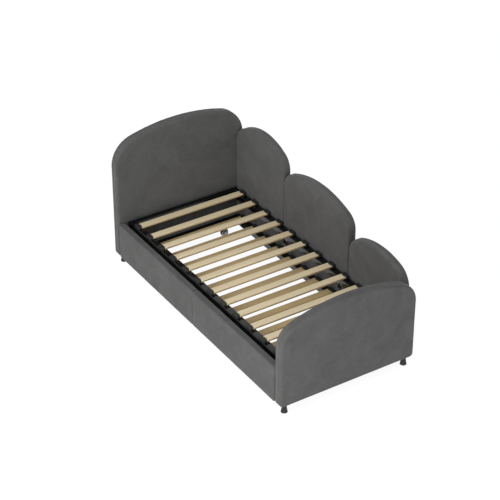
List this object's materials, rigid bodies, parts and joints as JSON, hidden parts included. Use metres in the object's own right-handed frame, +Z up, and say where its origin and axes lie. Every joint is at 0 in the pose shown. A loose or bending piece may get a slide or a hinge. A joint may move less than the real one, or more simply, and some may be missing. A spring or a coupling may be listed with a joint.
{
  "type": "toddler bed",
  "caption": "Upholstered children's day bed: arched end boards, scalloped back of arched lobes, wooden slat deck and a pull-out slatted trundle on casters.",
  "frame": {"origin": "on the floor, under the middle of the bed", "axes": "+X from headboard to footboard, +Y from trundle front to scalloped back, +Z up"},
  "size_m": [2.062, 1.002, 0.992],
  "materials": {
    "upholstery": "soft dark grey velvet",
    "slat_wood": "bare pale birch",
    "frame_steel": "gloss black powder coat",
    "holder_plastic": "moulded black",
    "leg_plastic": "moulded black",
    "caster_wheel": "black tyre, pale ring"
  },
  "bodies": {
    "bed_frame": {"headboard": "upholstery", "footboard": "upholstery", "back_lobe_head": "upholstery", "back_lobe_middle": "upholstery", "back_lobe_foot": "upholstery", "leg_head_near": "leg_plastic", "leg_head_far": "leg_plastic", "leg_foot_near": "leg_plastic", "leg_foot_far": "leg_plastic", "back_bracket_head": "frame_steel", "back_bracket_foot": "frame_steel", "deck_rail_near": "frame_steel", "deck_rail_far": "frame_steel", "deck_rail_head": "frame_steel", "deck_rail_foot": "frame_steel", "deck_slat_01": "slat_wood", "deck_slat_02": "slat_wood", "deck_slat_03": "slat_wood", "deck_slat_04": "slat_wood", "deck_slat_05": "slat_wood", "deck_slat_06": "slat_wood", "deck_slat_07": "slat_wood", "deck_slat_08": "slat_wood", "deck_slat_09": "slat_wood", "deck_slat_10": "slat_wood", "deck_slat_11": "slat_wood", "deck_slat_12": "slat_wood", "deck_holders_near": "holder_plastic", "deck_holders_far": "holder_plastic"},
    "trundle": {"trundle_front_head": "upholstery", "trundle_front_foot": "upholstery", "trundle_rail_near": "frame_steel", "trundle_rail_far": "frame_steel", "trundle_rail_head": "frame_steel", "trundle_rail_foot": "frame_steel", "trundle_slat_01": "slat_wood", "trundle_slat_02": "slat_wood", "trundle_slat_03": "slat_wood", "trundle_slat_04": "slat_wood", "trundle_slat_05": "slat_wood", "trundle_slat_06": "slat_wood", "trundle_slat_07": "slat_wood", "trundle_slat_08": "slat_wood", "trundle_slat_09": "slat_wood", "trundle_slat_10": "slat_wood", "trundle_slat_11": "slat_wood", "trundle_slat_12": "slat_wood", "trundle_holders_near": "holder_plastic", "trundle_holders_far": "holder_plastic", "caster_fork_head_near": "frame_steel", "caster_fork_head_far": "frame_steel", "caster_fork_foot_near": "frame_steel", "caster_fork_foot_far": "frame_steel"},
    "wheel_head_near": {"caster_wheel_head_near": "caster_wheel"},
    "wheel_head_far": {"caster_wheel_head_far": "caster_wheel"},
    "wheel_foot_near": {"caster_wheel_foot_near": "caster_wheel"},
    "wheel_foot_far": {"caster_wheel_foot_far": "caster_wheel"}
  },
  "joints": [
    {"name": "trundle_slide", "type": "slide", "parent": "bed_frame", "child": "trundle", "axis": [0, -1, 0], "range_m": [0, 0.85]},
    {"name": "wheel_spin_head_near", "type": "hinge", "parent": "trundle", "child": "wheel_head_near", "pos_m": [-0.8955, -0.3, 0.028], "axis": [1, 0, 0], "continuous": true},
    {"name": "wheel_spin_head_far", "type": "hinge", "parent": "trundle", "child": "wheel_head_far", "pos_m": [-0.8955, 0.3, 0.028], "axis": [1, 0, 0], "continuous": true},
    {"name": "wheel_spin_foot_near", "type": "hinge", "parent": "trundle", "child": "wheel_foot_near", "pos_m": [0.9255, -0.3, 0.028], "axis": [1, 0, 0], "continuous": true},
    {"name": "wheel_spin_foot_far", "type": "hinge", "parent": "trundle", "child": "wheel_foot_far", "pos_m": [0.9255, 0.3, 0.028], "axis": [1, 0, 0], "continuous": true}
  ],
  "couplings": [
    {"joint": "wheel_spin_head_near", "follows": "trundle_slide", "rad_per_m": 35.714},
    {"joint": "wheel_spin_head_far", "follows": "trundle_slide", "rad_per_m": 35.714},
    {"joint": "wheel_spin_foot_near", "follows": "trundle_slide", "rad_per_m": 35.714},
    {"joint": "wheel_spin_foot_far", "follows": "trundle_slide", "rad_per_m": 35.714}
  ]
}
